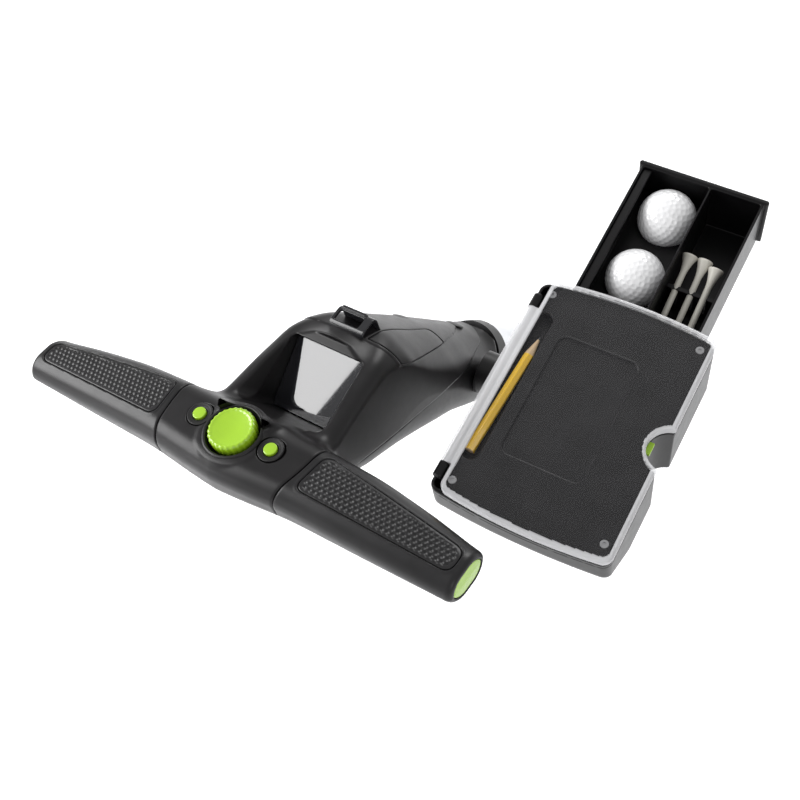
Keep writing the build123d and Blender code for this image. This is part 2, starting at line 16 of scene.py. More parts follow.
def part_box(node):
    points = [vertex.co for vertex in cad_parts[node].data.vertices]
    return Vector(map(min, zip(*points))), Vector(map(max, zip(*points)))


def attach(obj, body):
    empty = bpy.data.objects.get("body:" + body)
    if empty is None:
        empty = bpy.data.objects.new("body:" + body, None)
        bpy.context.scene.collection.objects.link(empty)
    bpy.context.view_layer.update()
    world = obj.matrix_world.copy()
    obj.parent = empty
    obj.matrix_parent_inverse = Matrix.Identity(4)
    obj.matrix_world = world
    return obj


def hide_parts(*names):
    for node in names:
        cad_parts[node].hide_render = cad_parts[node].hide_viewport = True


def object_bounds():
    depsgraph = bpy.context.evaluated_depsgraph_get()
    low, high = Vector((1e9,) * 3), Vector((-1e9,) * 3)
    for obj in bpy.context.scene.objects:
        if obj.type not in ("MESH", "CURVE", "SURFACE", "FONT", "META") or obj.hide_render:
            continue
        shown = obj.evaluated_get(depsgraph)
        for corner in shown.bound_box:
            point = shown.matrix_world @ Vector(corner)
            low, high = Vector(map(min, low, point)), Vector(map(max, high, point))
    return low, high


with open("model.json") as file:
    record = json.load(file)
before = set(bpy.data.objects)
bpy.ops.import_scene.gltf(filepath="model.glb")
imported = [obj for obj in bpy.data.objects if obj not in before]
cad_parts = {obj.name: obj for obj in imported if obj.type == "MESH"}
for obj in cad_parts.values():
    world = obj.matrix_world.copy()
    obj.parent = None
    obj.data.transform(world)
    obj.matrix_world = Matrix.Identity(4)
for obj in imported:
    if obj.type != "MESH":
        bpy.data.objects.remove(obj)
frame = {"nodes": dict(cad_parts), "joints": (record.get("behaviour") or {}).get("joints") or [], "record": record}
cad_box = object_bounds()

MM = 0.001
JOINTS = {joint["name"]: joint for joint in frame["joints"]}


# ---------------------------------------------------------------- frames
def frame_matrix(origin, x_axis, y_axis, z_axis):
    """Takes millimetres in a modelling frame to metres in the row frame."""
    rows = Matrix((x_axis, y_axis, z_axis)).transposed().to_4x4()
    return Matrix.Translation(origin) @ rows @ Matrix.Scale(MM, 4)


KNOB_LOW, KNOB_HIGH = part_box("speed_knob")
KNOB_TOP = 5.0
DECK_ORIGIN = Vector((0, (KNOB_LOW.y + KNOB_HIGH.y) / 2 + MM, KNOB_HIGH.z - KNOB_TOP * MM))
DECK = frame_matrix(DECK_ORIGIN, (1, 0, 0), (0, 1, 0), (0, 0, 1))

BOX_X = Vector(JOINTS["box_tilt"]["axis"]).normalized()
BOX_Z = Vector(JOINTS["box_swivel"]["axis"]).normalized()
BOX_Y = BOX_Z.cross(BOX_X)
HINGE_IN_BOX = Vector((4.0, 83.0, -4.3))
BOX_TURN = Matrix((BOX_X, BOX_Y, BOX_Z)).transposed()
BOX_ORIGIN = Vector(JOINTS["lid_hinge"]["pos_m"]) - BOX_TURN @ HINGE_IN_BOX * MM
BOX = frame_matrix(BOX_ORIGIN, BOX_X, BOX_Y, BOX_Z)

SHAFT_ANGLE = math.radians(46.6)
SHAFT_DIR = Vector((0, math.cos(SHAFT_ANGLE), -math.sin(SHAFT_ANGLE)))
COLLAR_CENTRE = Vector((0, 214.0, -182.0))


# ---------------------------------------------------------------- fields
def smooth_max(a, b, k):
    """The larger of two fields, with their meeting rounded over about k."""
    h = np.clip(0.5 + 0.5 * (a - b) / k, 0, 1)
    return b + (a - b) * h + k * h * (1 - h)


def smooth_min(a, b, k):
    return -smooth_max(-a, -b, k)


def rounded_box(u, v, half_u, half_v, radius):
    """Distance to a rounded rectangle in the (u, v) plane."""
    qu, qv = np.abs(u) - half_u + radius, np.abs(v) - half_v + radius
    outside = np.hypot(np.maximum(qu, 0), np.maximum(qv, 0))
    return outside + np.minimum(np.maximum(qu, qv), 0) - radius


def curve_through(points, blur=4.0):
    """A smoothed line through (position, value) points, as a function."""
    at, value = np.array(points, float).T
    grid = np.arange(at[0] - 60, at[-1] + 60, 0.5)
    raw = np.interp(grid, at, value)
    reach = np.arange(-3 * blur, 3 * blur + 0.5, 0.5)
    weight = np.exp(-0.5 * (reach / blur) ** 2)
    padded = np.pad(raw, len(reach) // 2, mode="edge")
    smooth = np.convolve(padded, weight / weight.sum(), mode="valid")
    return lambda x: np.interp(x, grid, smooth)


def sample(field, low, high, step):
    """Field values on a grid, worked out finely only near the surface."""
    coarse = 4
    counts = [int(math.ceil((b - a) / (step * coarse))) for a, b in zip(low, high)]
    axes = [a + step * coarse * (np.arange(n) + 0.5) for a, n in zip(low, counts)]
    rough = field(*np.meshgrid(*axes, indexing="ij")).astype(np.float32)
    values = rough.repeat(coarse, 0).repeat(coarse, 1).repeat(coarse, 2)
    near = np.abs(values) < step * coarse * 1.9
    ix, iy, iz = np.nonzero(near)
    spots = [a + step * (i + 0.5) for a, i in zip(low, (ix, iy, iz))]
    values[ix, iy, iz] = field(*spots)
    return values


def surface_net(values, low, step):
    """One vertex in each cell that the surface crosses, and one quad for each crossed grid edge."""
    inside = values < 0
    corners = [(i, j, k) for i in (0, 1) for j in (0, 1) for k in (0, 1)]
    nx, ny, nz = (n - 1 for n in values.shape)
    count = sum(inside[i:nx + i, j:ny + j, k:nz + k].astype(np.int8) for i, j, k in corners)
    cells = np.argwhere((count > 0) & (count < 8))
    number = -np.ones((nx, ny, nz), np.int64)
    number[tuple(cells.T)] = np.arange(len(cells))
    total, hits = np.zeros((len(cells), 3)), np.zeros(len(cells))
    for a in corners:
        for b in corners:
            if sum(b) - sum(a) != 1 or any(q < p for p, q in zip(a, b)):
                continue
            va, vb = values[tuple((cells + a).T)], values[tuple((cells + b).T)]
            crossed = (va < 0) != (vb < 0)
            part = np.where(crossed, va / np.where(crossed, va - vb, 1), 0)
            total += crossed[:, None] * (np.array(a) + part[:, None] * (np.array(b) - a))
            hits += crossed
    points = np.array(low) + step * (cells + 0.5 + total / hits[:, None])
    quads = []
    for axis in range(3):
        other, third = np.eye(3, dtype=int)[(axis + 1) % 3], np.eye(3, dtype=int)[(axis + 2) % 3]
        spots = np.argwhere(inside != np.roll(inside, -1, axis))
        keep = np.all(spots > 0, 1) & np.all(spots < np.array(values.shape) - 2, 1)
        spots = spots[keep]
        turns = ((0, 0), (1, 0), (1, 1), (0, 1))
        ring = [number[tuple((spots - s * other - t * third).T)] for s, t in turns]
        ring = np.stack(ring, 1)
        flip = ~inside[tuple(spots.T)]
        ring[flip] = ring[flip][:, ::-1]
        quads.append(ring[np.all(ring >= 0, 1)])
    return points, np.concatenate(quads)


def settle(points, field, step, rounds=4):
    """Moves points along the field's slope on to its surface."""
    reach = 0.05
    for _ in range(rounds):
        value = field(*points.T)
        slope = np.stack([(field(*(points + reach * axis).T) - value) / reach for axis in np.eye(3)], 1)
        move = value[:, None] * slope / np.maximum((slope ** 2).sum(1), 0.2)[:, None]
        points = points - np.clip(move, -0.5 * step, 0.5 * step)
    return points


def mesh_object(name, points, faces, matrix, smooth=True):
    """A new object in the row frame from points in a modelling frame."""
    mesh = bpy.data.meshes.new(name)
    mesh.from_pydata([tuple(p) for p in points], [], [tuple(int(i) for i in f) for f in faces])
    mesh.transform(matrix)
    mesh.validate()
    mesh.shade_smooth() if smooth else mesh.shade_flat()
    piece = bpy.data.objects.new(name, mesh)
    bpy.context.scene.collection.objects.link(piece)
    return piece


def field_piece(name, field, low, high, step, matrix=DECK):
    values = sample(field, low, high, step)
    points, quads = surface_net(values, low, step)
    points = settle(points, field, step)
    return mesh_object(name, points, quads, matrix)


def finish_piece(piece, body, slot, material, *replaced):
    """Gives one piece its material and its body and hides the CAD nodes it stands for; the slot argument is not
    used.
    """
    piece.data.materials.clear()
    piece.data.materials.append(material)
    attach(piece, body)
    if replaced:
        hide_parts(*replaced)
    return piece


# ---------------------------------------------------------------- materials
def node_material(name, color, roughness, **sockets):
    """A principled material, and handles to build its texture nodes with."""
    material = bpy.data.materials.new(name)
    material.use_nodes = True
    shader = material.node_tree.nodes["Principled BSDF"]
    shader.inputs["Base Color"].default_value = (*color, 1)
    shader.inputs["Roughness"].default_value = roughness
    for socket, value in sockets.items():
        shader.inputs[socket.replace("_", " ")].default_value = value
    return material, shader


def add_node(material, kind, **settings):
    node = material.node_tree.nodes.new(kind)
    for key, value in settings.items():
        if key in node.inputs:
            node.inputs[key].default_value = value
        else:
            setattr(node, key, value)
    return node


def link(material, source, target):
    material.node_tree.links.new(source, target)


def object_noise(material, scale, detail=3.0, roughness=0.55):
    """Noise fixed to the piece, with its scale per metre."""
    place = add_node(material, "ShaderNodeTexCoord")
    noise = add_node(material, "ShaderNodeTexNoise")
    noise.inputs["Scale"].default_value = scale
    noise.inputs["Detail"].default_value = detail
    noise.inputs["Roughness"].default_value = roughness
    link(material, place.outputs["Object"], noise.inputs["Vector"])
    return noise.outputs["Fac"]


def ramp(material, source, stops):
    """A colour ramp from (position, colour) stops."""
    node = add_node(material, "ShaderNodeValToRGB")
    while len(node.color_ramp.elements) < len(stops):
        node.color_ramp.elements.new(0.5)
    for element, (position, color) in zip(node.color_ramp.elements, stops):
        element.position = position
        element.color = (*color, 1) if len(color) == 3 else color
    link(material, source, node.inputs["Fac"])
    return node.outputs["Color"]


def mapped(material, source, low, high):
    """A 0 to 1 factor spread over a new range."""
    node = add_node(material, "ShaderNodeMapRange")
    node.inputs["To Min"].default_value = low
    node.inputs["To Max"].default_value = high
    link(material, source, node.inputs["Value"])
    return node.outputs["Result"]


def add_bump(material, shader, height, strength, distance):
    node = add_node(material, "ShaderNodeBump")
    node.inputs["Strength"].default_value = strength
    node.inputs["Distance"].default_value = distance
    link(material, height, node.inputs["Height"])
    link(material, node.outputs["Normal"], shader.inputs["Normal"])


def moulded(name, color, rough, grain=2600.0, grain_depth=0.00004, vary=0.25, **sockets):
    """Moulded plastic: a fine spark-eroded grain, and slight cloudiness of colour and gloss."""
    material, shader = node_material(name, color, rough, **sockets)
    cloud = object_noise(material, 45.0)
    darker = tuple(c * (1 - vary) for c in color)
    lighter = tuple(min(1, c * (1 + vary)) for c in color)
    link(material, ramp(material, cloud, ((0.3, darker), (0.7, lighter))), shader.inputs["Base Color"])
    patches = object_noise(material, 160.0)
    link(material, mapped(material, patches, rough * 0.85, min(1, rough * 1.15)), shader.inputs["Roughness"])
    if grain_depth:
        add_bump(material, shader, object_noise(material, grain, 1.0), 0.5, grain_depth)
    return material


BLACK = (0.0075, 0.0068, 0.0075)
HOUSING = moulded("housing_black", BLACK, 0.38, Specular_IOR_Level=0.34)
GRIP = moulded("grip_rubber", (0.0085, 0.008, 0.0088), 0.36, grain=3400.0, Specular_IOR_Level=0.36)
INLAY = moulded("inlay_rubber", (0.0085, 0.008, 0.0088), 0.34, grain=3400.0, Specular_IOR_Level=0.4)
PAD = moulded("pad_black", (0.007, 0.0065, 0.007), 0.45, Specular_IOR_Level=0.34)
GREEN = moulded("green_plastic", (0.30, 0.52, 0.016), 0.24, grain_depth=0, vary=0.05, Coat_Weight=0.5)
GLOSS_BLACK = moulded("gloss_black", (0.012, 0.012, 0.014), 0.16, grain_depth=0)


# ---------------------------------------------------------------- head: driving shapes
SEAM_FAR_X, SEAM_PULL = 55.5, 7.5           # the grips' seam, drawn in towards the user's edge
GRIP_TIP_X = 172.6
RIM_FRONT_Y, RIM_BACK_Y = 33.0, 94.5
GLASS_LOW, GLASS_HIGH = np.array((49.6, -54.5)), np.array((92.0, -29.0))
GLASS_HALF = 29.0
GLASS_ALONG = (GLASS_HIGH - GLASS_LOW) / np.linalg.norm(GLASS_HIGH - GLASS_LOW)
PARTING_Y, PARTING_Z, PARTING_SLOPE = 91.0, -89.0, math.radians(27.0)
COLLAR_R = 27.2

bar_near = curve_through(((0, -31.5), (28, -29.5), (54, -26.8), (114, -26.3), (172, -25.8)), 10)
bar_far = curve_through(((0, 21), (54, 22.0), (96, 20.9), (138, 15.6), (172, 9.4)), 8)
bar_top = curve_through(((0, 0), (54, -1.2), (114, -4.2), (172, -7.6)), 8)
bar_low = curve_through(((0, -36.5), (54, -34.8), (114, -33.8), (172, -31.4)), 8)
pod_top = curve_through(((0, -15), (20, -18.5), (33, -22.5), (60, -22.5), (94, -24.2), (108, -28),
                         (121, -34), (133, -45.5), (163, -80), (186, -112), (214, -158)), 3.5)
pod_half = curve_through(((0, 52), (30, 47), (94, 41), (130, 38), (165, 34), (205, 27.5)), 6)
pod_low = curve_through(((10, -58), (50, -90), (86, -113), (110, -132), (150, -165), (180, -196),
                         (210, -220)), 6)
shoulder = curve_through(((60, 9), (98, 10), (125, 24), (160, 29), (205, 27)), 6)


def bar_form(x, y, z):
    """The whole handlebar, tapered to its tips, with its top leaning forwards a little."""
    along = np.abs(x)
    near, far, top, low = bar_near(along), bar_far(along), bar_top(along), bar_low(along)
    lean = z + 0.09 * (y + 10)
    return rounded_box(y - (near + far) / 2, lean - (top + low) / 2, (far - near) / 2, (top - low) / 2, 14.5)


def neck_form(x, y, z):
    """The round end that the shaft goes into."""
    along = (y - COLLAR_CENTRE.y) * SHAFT_DIR.y + (z - COLLAR_CENTRE.z) * SHAFT_DIR.z
    across = (z - COLLAR_CENTRE.z) * SHAFT_DIR.y - (y - COLLAR_CENTRE.y) * SHAFT_DIR.z
    return smooth_max(np.hypot(x, across) - COLLAR_R, along, 3), along


def pod_form(x, y, z):
    """The body between the bar and the shaft, before the display's well is cut."""
    top, half, low = pod_top(y), pod_half(y), pod_low(y)
    lean = 1 / np.hypot(1, (pod_top(y + 1) - pod_top(y - 1)) / 2)
    side = np.abs(x) - half - 0.05 * np.clip(top - z, 0, 60)
    radius = shoulder(y)
    qx, qz = side + radius, (z - top) * lean + radius
    upper = np.hypot(np.maximum(qx, 0), np.maximum(qz, 0)) + np.minimum(np.maximum(qx, qz), 0) - radius
    body = smooth_max(smooth_max(upper, (low - z) * 0.8, 22), 8 - y, 6)
    neck, along = neck_form(x, y, z)
    return smooth_max(smooth_min(body, neck, 12), along, 3)


def under_parting(y, z):
    """Height over the plane where the two shells meet."""
    return (y - PARTING_Y) * math.sin(PARTING_SLOPE) + (z - PARTING_Z) * math.cos(PARTING_SLOPE)


def seam_gap(x, y):
    """Signed distance past the curved seam between the housing and a grip."""
    return np.abs(x) - SEAM_FAR_X + SEAM_PULL * np.clip((20 - y) / 46, 0, 1.2) ** 2


def head_form(x, y, z):
    return smooth_min(bar_form(x, y, z), pod_form(x, y, z), 12)


def plate_side(x, y, z, corner, normal):
    """Distance past a plane, on both sides of the centre plane alike."""
    nx, ny, nz = np.array(normal) / np.linalg.norm(normal)
    return nx * (np.abs(x) - corner[0]) + ny * (y - corner[1]) + nz * (z - corner[2])


def glass_height(y, z):
    """Height over the display glass, and the place along it from its middle."""
    middle = (GLASS_LOW + GLASS_HIGH) / 2
    along = (y - middle[0]) * GLASS_ALONG[0] + (z - middle[1]) * GLASS_ALONG[1]
    return (z - middle[1]) * GLASS_ALONG[0] - (y - middle[0]) * GLASS_ALONG[1], along


def well_cut(x, y, z):
    """The hollow that the display looks out of: a funnel with slanted cheeks over a straight-sided pit."""
    height, along = glass_height(y, z)
    length = np.linalg.norm(GLASS_HIGH - GLASS_LOW)
    pit = rounded_box(x, along, GLASS_HALF + 0.4, length / 2 + 0.6, 4)
    pit = np.maximum(pit, -height - 3)
    cheek = plate_side(x, y, z, (37.0, 31.0, -22.0), (0.896, 0.109, -0.431))
    front = 0.86 * (RIM_FRONT_Y - y) - 0.51 * (z + 26)
    back = y - RIM_BACK_Y
    floor = 0.33 * (y - 36.3) - 0.944 * (z + 40.5)
    funnel = smooth_max(smooth_max(cheek, front, 7), np.maximum(back, floor), 1.2)
    return np.minimum(pit, funnel)


# ---------------------------------------------------------------- head: pieces
KNOB_Y = -1.0
RECESS_R, RING_R, BOSS_R, KNOB_SHAFT_HOLE_R = 17.6, 20.4, 22.2, 3.2
RECESS_Z = -9.5
BUTTON_X, BUTTON_R, PAD_R = 29.0, 4.4, 8.5
PAD_SEAT = 9.0
CREASE_Y = 106.6
FLAP_X = 17.0
DOME_POINTS = ((-6.0, 163.5, -80.0), (2.0, 205.6, -132.0))
PORT_POINT, PORT_DEPTH = (27.0, 140.0, -75.0), 2.6
SEAM_GAP, PARTING_GAP = 0.25, 0.25
CREST_STEP = 0.7
CREST_NORMAL = Vector((0, 0.75, 0.66)).normalized()


def side_seam(y, z):
    """Distance under the sloping line that the port's cover ends at."""
    return 0.738 * (-46.0 - z) - 0.675 * (y - 112)


def flap_zone(x, y, z):
    """Negative over the cover of the charging port: behind the crest's crease and above its side seam."""
    corner = smooth_max(y - 167.0, FLAP_X - x - 0.12 * np.maximum(y - 145, 0), 5)
    return smooth_max(np.maximum(corner, 109.4 - y), side_seam(y, z), 2)


def housing_field(x, y, z):
    """The upper shell, with its well, knob recess, button seats and the gap for the port's cover."""
    form = head_form(x, y, z)
    crest = smooth_max(smooth_max(CREASE_Y - y, side_seam(y, z), 0.6), form - CREST_STEP, 1.0)
    form = np.minimum(form, np.maximum(crest, form - CREST_STEP))
    form = smooth_max(form, -well_cut(x, y, z), 1.6)
    knob_out = np.hypot(x, y - KNOB_Y)
    boss = smooth_max(knob_out - BOSS_R, between(z, -14.0, -0.9), 1.5)
    form = smooth_min(form, boss, 4)
    form = smooth_max(form, -np.maximum(RECESS_Z - z, knob_out - RING_R + 1.2), 0.6)
    for side in (-1, 1):
        pad_out = np.hypot(x - side * BUTTON_X, y)
        form = smooth_max(form, np.minimum(PAD_SEAT - pad_out, z + 3.4), 0.8)
    form = smooth_max(form, -np.maximum(flap_zone(x, y, z) - 0.35, -PORT_DEPTH - head_form(x, y, z)), 0.8)
    form = smooth_max(form, seam_gap(x, y) + SEAM_GAP, 1.2)
    return smooth_max(form, PARTING_GAP - under_parting(y, z), 1.0)


def lower_field(x, y, z):
    """The lower shell, set in a little under the upper one's edge."""
    inset = 1.0 + 1.4 * np.clip((y - 90) / 60, 0, 1)
    form = head_form(x, y, z) + inset
    form = smooth_max(form, seam_gap(x, y) + SEAM_GAP, 1.2)
    return smooth_max(form, under_parting(y, z) + PARTING_GAP, 1.0)


def inlay_outline(x, y):
    """Distance outside the rounded outline of a grip's inlay."""
    along = np.abs(x)
    far = (y - 14.6 + (along - 61) * 0.118) * 0.992
    near = -14.4 - y
    tip = along - 166.3
    root = (58.0 - along) + 0.12 * (y + 13)
    return smooth_max(smooth_max(far, near, 3.5), smooth_max(tip, root, 3.5), 7)


def grip_field(x, y, z):
    """A grip's rubber body, with a lipped bed for its inlay and a pocket for its end cap."""
    form = head_form(x, y, z)
    edge = inlay_outline(x, y)
    bed = np.maximum(edge - 0.3, -1.1 - form)
    lip = np.clip(1 - np.abs(edge - 1.0) / 0.9, 0, 1) * 0.35 * (z > -22)
    form = smooth_max(form - lip, -bed, 0.6)
    form = smooth_max(form, SEAM_GAP - seam_gap(x, y), 1.4)
    tip = np.abs(x) - GRIP_TIP_X
    form = smooth_max(form, tip, 4.5)
    pocket = np.maximum(bar_form(x, y, z) + 3.6, GRIP_TIP_X - 1.9 - np.abs(x))
    return smooth_max(form, -pocket, 0.7)


HEX_PITCH = 3.7


def hexagon_domes(x, y):
    """Height of close-packed domes, from 0 in the grooves to 1 at their tops."""
    row = HEX_PITCH * math.sqrt(3) / 2
    best = np.full(np.shape(x), 1e9)
    for shift in (0, 1):
        cx = (x / HEX_PITCH - 0.5 * shift)
        cy = (y / (2 * row) - 0.5 * shift)
        dx = (cx - np.round(cx)) * HEX_PITCH
        dy = (cy - np.round(cy)) * 2 * row
        best = np.minimum(best, dx ** 2 + dy ** 2)
    return np.clip(1 - best / (0.52 * HEX_PITCH) ** 2, 0, 1)


def inlay_field(x, y, z):
    """The textured inlay: domes inside a plain raised border."""
    edge = inlay_outline(x, y)
    border = np.clip((edge + 2.2) / 0.7, 0, 1)
    height = 0.75 * hexagon_domes(x, y) * (1 - border) + 0.65 * border - 0.7
    form = head_form(x, y, z) - height
    return smooth_max(np.maximum(form, -3 - head_form(x, y, z)), edge + 0.1, 0.5)


def cap_field(x, y, z):
    """The coloured cap that closes a grip's end, set inside the rubber's rim."""
    form = bar_form(x, y, z) + 3.8
    crown = np.abs(x) - GRIP_TIP_X + 0.55 - 0.4 * np.clip(-form / 8, 0, 1)
    return smooth_max(np.maximum(form, GRIP_TIP_X - 1.4 - np.abs(x)), crown, 0.9)


def spigot_field(x, y, z):
    """The neck inside the seam between the housing and a grip."""
    return np.maximum(bar_form(x, y, z) + 2.0, np.abs(np.abs(x) - 56) - 5)


def flap_field(x, y, z):
    form = np.maximum(head_form(x, y, z) - CREST_STEP, -2.0 - head_form(x, y, z))
    return smooth_max(form, flap_zone(x, y, z), 1.0)


def turned(profile, segments=96, ripple=None, place=Matrix()):
    """Points and faces of a turned form; ripple adds to the radius at an angle and a height."""
    points, faces = [], []
    for j, (radius, height) in enumerate(profile):
        for i in range(segments):
            turn = 2 * math.pi * i / segments
            out = radius + (ripple(turn, radius, height) if ripple else 0)
            points.append(place @ Vector((out * math.cos(turn), out * math.sin(turn), height)))
            if j:
                a, b = (j - 1) * segments, j * segments
                k = (i + 1) % segments
                faces.append((a + i, a + k, b + k, b + i))
    faces.append(tuple(range(segments))[::-1])
    faces.append(tuple(range(len(points) - segments, len(points))))
    return points, faces


def lathe(name, profile, matrix, segments=96, ripple=None):
    return mesh_object(name, *turned(profile, segments, ripple), matrix)


def joined(name, parts, matrix):
    """One object from several (points, faces) parts."""
    points, faces = [], []
    for some_points, some_faces in parts:
        faces += [tuple(i + len(points) for i in face) for face in some_faces]
        points += list(some_points)
    return mesh_object(name, points, faces, matrix)


def round_over(radius, height, r, steps=5):
    """Points of a quarter-round between a side and a top."""
    turns = [math.pi / 2 * i / steps for i in range(steps + 1)]
    return [(radius - r + r * math.cos(t), height - r + r * math.sin(t)) for t in turns]


SCALLOPS = 26


def knob_ripple(turn, radius, height):
    """Shallow flutes round the knob's rim."""
    depth = max(0.0, min(1.0, (radius - 11.0) / 4.0))
    return -0.5 * depth * (0.5 + 0.5 * math.cos(SCALLOPS * turn))


def make_knob():
    dish = [(r, 3.55 + 0.95 * (r / 12.0) ** 2) for r in (0.6, 3, 6, 8, 10, 11.4, 12.2)]
    rim = [(12.9, 4.75), (13.6, 4.98), (14.2, 4.9), (14.9, 4.45), (15.35, 3.7), (15.5, 2.8), (15.55, 1.0)]
    side = [(15.5, -1.5), (15.4, -4.2), (15.0, -4.65)]
    profile = [(r, h) for r, h in reversed(dish + rim + side)]
    place = DECK @ Matrix.Translation((0, KNOB_Y, 0))
    knob = lathe("speed_knob_dial", profile, place, 312, knob_ripple)
    finish_piece(knob, "speed_knob", "green_plastic", GREEN, "speed_knob")


def make_ring():
    profile = [(RING_R - 0.3, -13.0), (RING_R - 0.1, -1.0)] + round_over(RING_R, 1.5, 1.6)
    profile += [(RECESS_R + 0.7, 1.45), (RECESS_R + 0.25, 1.1), (RECESS_R, 0.5)]
    profile += [(RECESS_R - 0.2, -4.9), (KNOB_SHAFT_HOLE_R, -5.0)]
    place = DECK @ Matrix.Translation((0, KNOB_Y, 0))
    ring = lathe("knob_collar", profile, place, 128)
    finish_piece(ring, "head", "housing_black", HOUSING, "knob_surround")


def make_buttons():
    for side, name in ((-1, "left"), (1, "right")):
        place = DECK @ Matrix.Translation((side * BUTTON_X, 0, 0))
        profile = [(BUTTON_R, -7.5), (BUTTON_R, -0.2)] + round_over(BUTTON_R, 0.45, 0.5)
        profile += [(BUTTON_R * k, 0.45 + 0.15 * (1 - k * k)) for k in (0.75, 0.5, 0.25, 0.05)]
        button = lathe(f"{name}_button_top", profile, place, 64)
        finish_piece(button, f"{name}_button", "green_plastic", GREEN, f"{name}_button")
        inner = BUTTON_R + 0.35
        profile = [(PAD_R, -3.3), (PAD_R, -1.2)] + round_over(PAD_R, -0.55, 0.6)
        profile += [(7.2, -0.75), (6.2, -0.95), (inner + 0.35, -0.85), (inner, -1.2), (inner, -3.3)]
        pad = lathe(f"{name}_button_ring", profile, place, 72)
        finish_piece(pad, "head", "pad_black", PAD, f"{name}_button_pad")


def make_head():
    upper = field_piece("upper_shell", housing_field, (-58, -36, -150), (58, 236, 6), 0.8)
    finish_piece(upper, "head", "housing_black", HOUSING, "upper_housing", "display_well")
    lower = field_piece("lower_shell", lower_field, (-58, -36, -226), (58, 226, -14), 1.1)
    finish_piece(lower, "head", "housing_black", HOUSING, "lower_housing", "bar_underside", "arm_boss")
    for side, name in ((-1, "left"), (1, "right")):
        low, high = (46, -36, -42), (175, 26, 3)
        if side < 0:
            low, high = (-175, -36, -42), (-46, 26, 3)
        grip = field_piece(f"{name}_grip_rubber", grip_field, low, high, 0.8)
        finish_piece(grip, "head", "grip_rubber", GRIP, f"{name}_grip")
        low, high = (min(57 * side, 168 * side), -17, -22), (max(57 * side, 168 * side), 15, 3)
        inlay = field_piece(f"{name}_grip_inlay", inlay_field, low, high, 0.42)
        finish_piece(inlay, "head", "inlay_rubber", INLAY, f"{name}_grip_panel")
        low, high = (min(169 * side, 174 * side), -30, -36), (max(169 * side, 174 * side), 10, 0)
        cap = field_piece(f"{name}_grip_cap", cap_field, low, high, 0.4)
        finish_piece(cap, "head", "green_plastic", GREEN, f"{name}_end_cap")
    for side, name in ((-1, "left"), (1, "right")):
        low, high = (min(50 * side, 62 * side), -33, -38), (max(50 * side, 62 * side), 26, 2)
        spigot = field_piece(f"{name}_spigot", spigot_field, low, high, 1.0)
        finish_piece(spigot, "head", "housing_black", HOUSING)
    flap = field_piece("port_cover", flap_field, (10, 104, -112), (50, 172, -22), 0.6)
    finish_piece(flap, "port_flap", "housing_black", HOUSING, "port_flap")


def make_port():
    """The charging socket that the port's cover hides: a ring, a dark pit and a centre pin."""
    start = np.array([PORT_POINT], float)
    spot = settle(start, lambda x, y, z: head_form(x, y, z) + PORT_DEPTH, 4.0, 12)
    reach = 0.05
    value = head_form(*spot.T)
    slope = [(head_form(*(spot + reach * axis).T) - value)[0] for axis in np.eye(3)]
    turn = Vector(slope).to_track_quat("Z", "Y").to_matrix().to_4x4()
    place = DECK @ Matrix.Translation(spot[0]) @ turn
    profile = [(8.0, -3.0), (8.0, 0.1), (7.8, 0.35), (6.4, 0.35), (6.1, 0.1), (6.0, -2.0), (1.6, -2.1)]
    profile += [(1.5, -0.5), (1.1, -0.1), (0.2, 0.0)]
    socket = lathe("charge_socket", profile, place, 64)
    finish_piece(socket, "head", "housing_black", PAD, "port_surround")


def make_caps():
    """The two domed plugs on the slope in front of the clip."""
    profile = [(7.0, -3.0), (7.0, -0.2)] + round_over(7.0, 0.6, 0.7)
    profile += [(5.2, 0.9), (3.6, 1.15), (1.8, 1.3), (0.3, 1.34)]
    turn = CREST_NORMAL.to_track_quat("Z", "Y").to_matrix().to_4x4()
    parts = [turned(profile, 64, None, Matrix.Translation(point) @ turn) for point in DOME_POINTS]
    caps = joined("slope_plugs", parts, DECK)
    finish_piece(caps, "head", "housing_black", HOUSING, "screw_caps")


CLIP_X = (-13.5, 15.0)


def clip_section(y, z):
    """Distance to the clip's hood in section: a thin shell with a rounded top, open below."""
    outer = rounded_box(y - 115.0, z + 38.0, 9.0, 16.0, 5.5)
    inner = rounded_box(y - 115.0, z + 40.2, 6.8, 16.0, 3.6)
    return np.maximum(outer, -inner)


def clip_field(x, y, z):
    """The glossy hood for accessories, with a slot in its top."""
    ends = np.abs(x - sum(CLIP_X) / 2) - (CLIP_X[1] - CLIP_X[0]) / 2
    form = smooth_max(clip_section(y, z), ends, 0.8)
    slot = np.maximum(rounded_box(x + 1.0, y - 114.5, 10.0, 4.2, 1.5), -24.5 - z)
    form = smooth_max(form, -slot, 0.6)
    rear = rounded_box(x + 1.0, z + 26.0, 10.5, 5.0, 1.5)
    form = np.minimum(form, np.maximum(rear, np.abs(y - 121.2) - 1.1))
    return np.maximum(form, -2.0 - head_form(x, y, z))


def make_clip():
    clip = field_piece("accessory_hood", clip_field, (-16, 102, -50), (18, 128, -16), 0.42)
    finish_piece(clip, "head", "gloss_black", GLOSS_BLACK, "accessory_clip")


